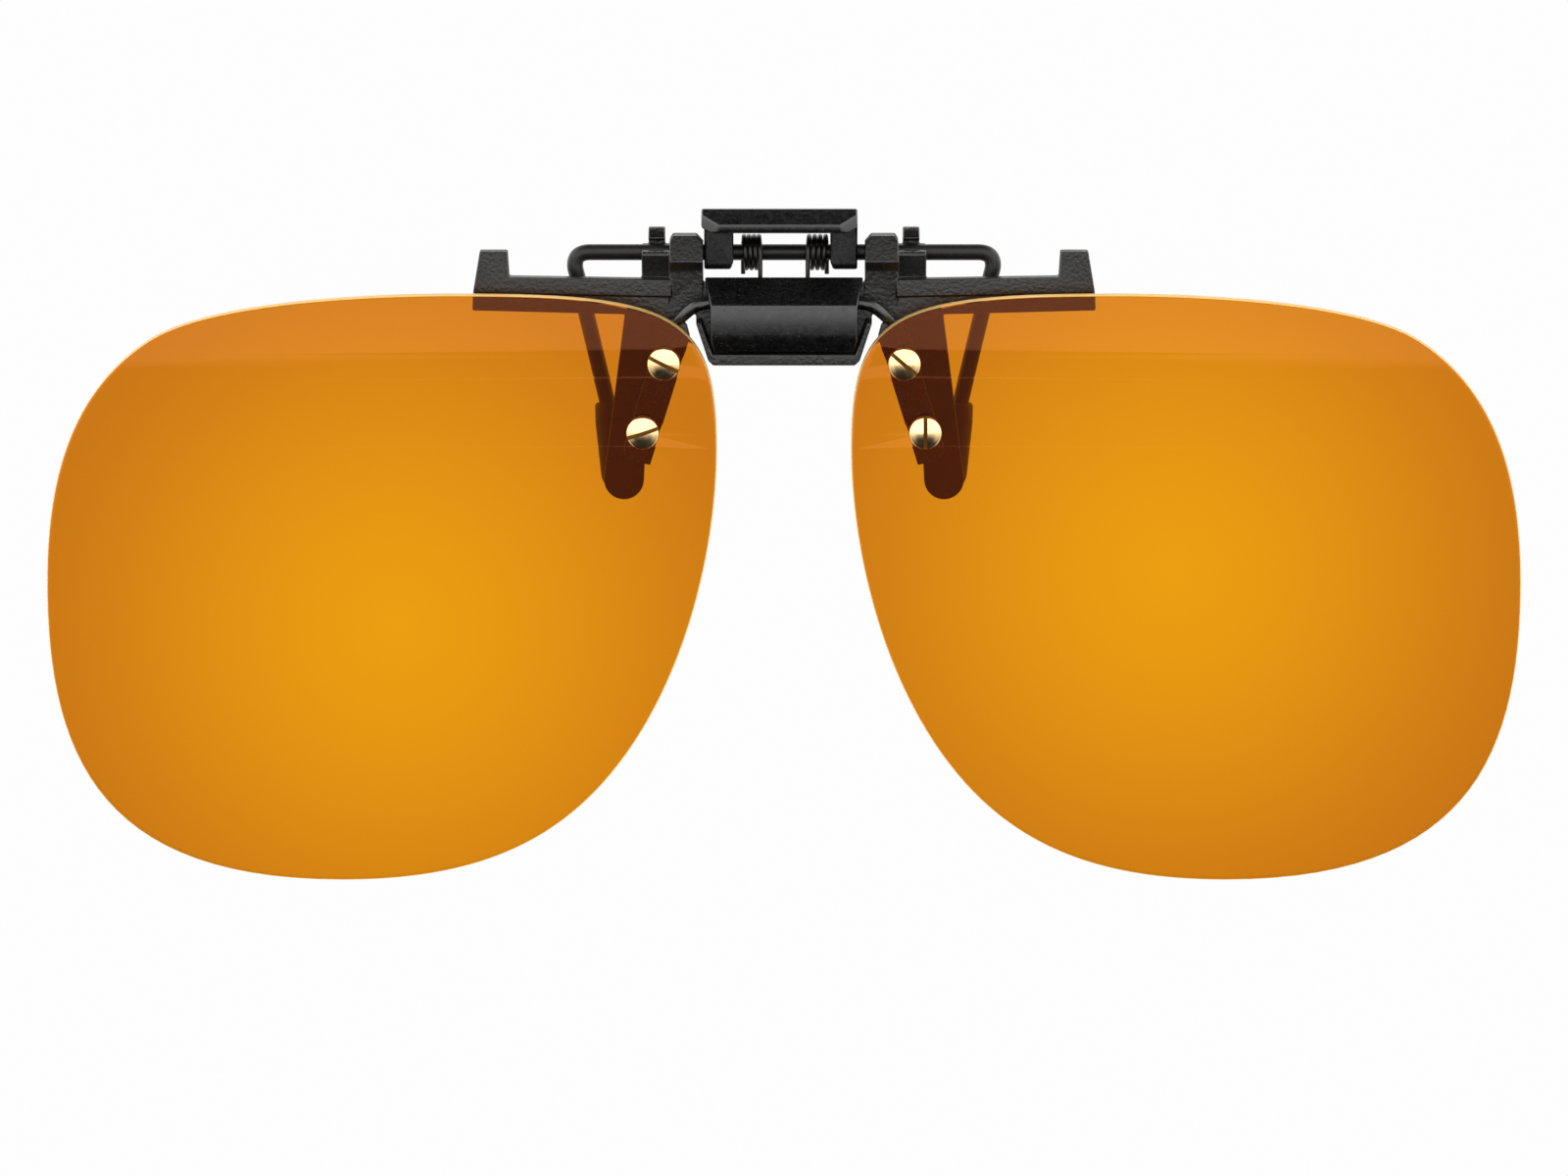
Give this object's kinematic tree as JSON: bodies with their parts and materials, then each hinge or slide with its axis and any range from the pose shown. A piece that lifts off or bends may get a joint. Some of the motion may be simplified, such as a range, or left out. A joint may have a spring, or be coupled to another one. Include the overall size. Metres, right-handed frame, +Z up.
{
  "type": "clip-on sunglasses",
  "caption": "Flip-up clip-on sunglasses: a sprung wire clamp grips the spectacles, and amber lenses swing up on a hinged yoke.",
  "frame": {"origin": "middle of the rear face of the raised pad that rests against the spectacles' bridge", "axes": "+X across, towards the wearer's left; +Y back towards the wearer; +Z up; the lenses hang down in front of the clip"},
  "size_m": [0.1366, 0.0099, 0.0624],
  "materials": {
    "moulded_frame": "black moulded nylon with a fine spark-eroded grain",
    "black_lacquer": "satin black lacquer on a small die casting",
    "wire": "satin black coated spring wire",
    "spring_steel": "blackened spring steel",
    "soft_sleeve": "matt soft sleeve",
    "brass": "turned brass with a sawn slot",
    "nylon": "natural nylon",
    "amber_lens": "clear amber tinted lens resin with polished faces and a bevelled edge"
  },
  "bodies": {
    "clip": {"clip_frame": "moulded_frame", "hinge_cover": "black_lacquer", "detent_spring": "spring_steel", "torsion_spring_left": "spring_steel", "torsion_spring_right": "spring_steel"},
    "lens_carrier": {"lens_yoke": "black_lacquer", "lens_left": "amber_lens", "lens_right": "amber_lens", "lens_screw_left_upper": "brass", "lens_screw_left_lower": "brass", "lens_screw_right_upper": "brass", "lens_screw_right_lower": "brass", "lens_washer_left_upper": "nylon", "lens_washer_left_lower": "nylon", "lens_washer_right_upper": "nylon", "lens_washer_right_lower": "nylon"},
    "clamp": {"clamp_wire": "wire", "release_lever": "black_lacquer", "grip_sleeve_left": "soft_sleeve", "grip_sleeve_right": "soft_sleeve"}
  },
  "joints": [
    {"name": "lens_flip", "type": "hinge", "parent": "clip", "child": "lens_carrier", "pos_m": [0, -0.00365, 0.0028], "axis": [-1, 0, 0], "range_deg": [0, 95]},
    {"name": "clamp_release", "type": "hinge", "parent": "clip", "child": "clamp", "pos_m": [0, 0.0013, 0.007], "axis": [1, 0, 0], "range_deg": [0, 20], "stiffness_Nm_per_rad": 0.05, "springref_deg": -22.92, "deforming": ["torsion_spring_left", "torsion_spring_right"]}
  ]
}
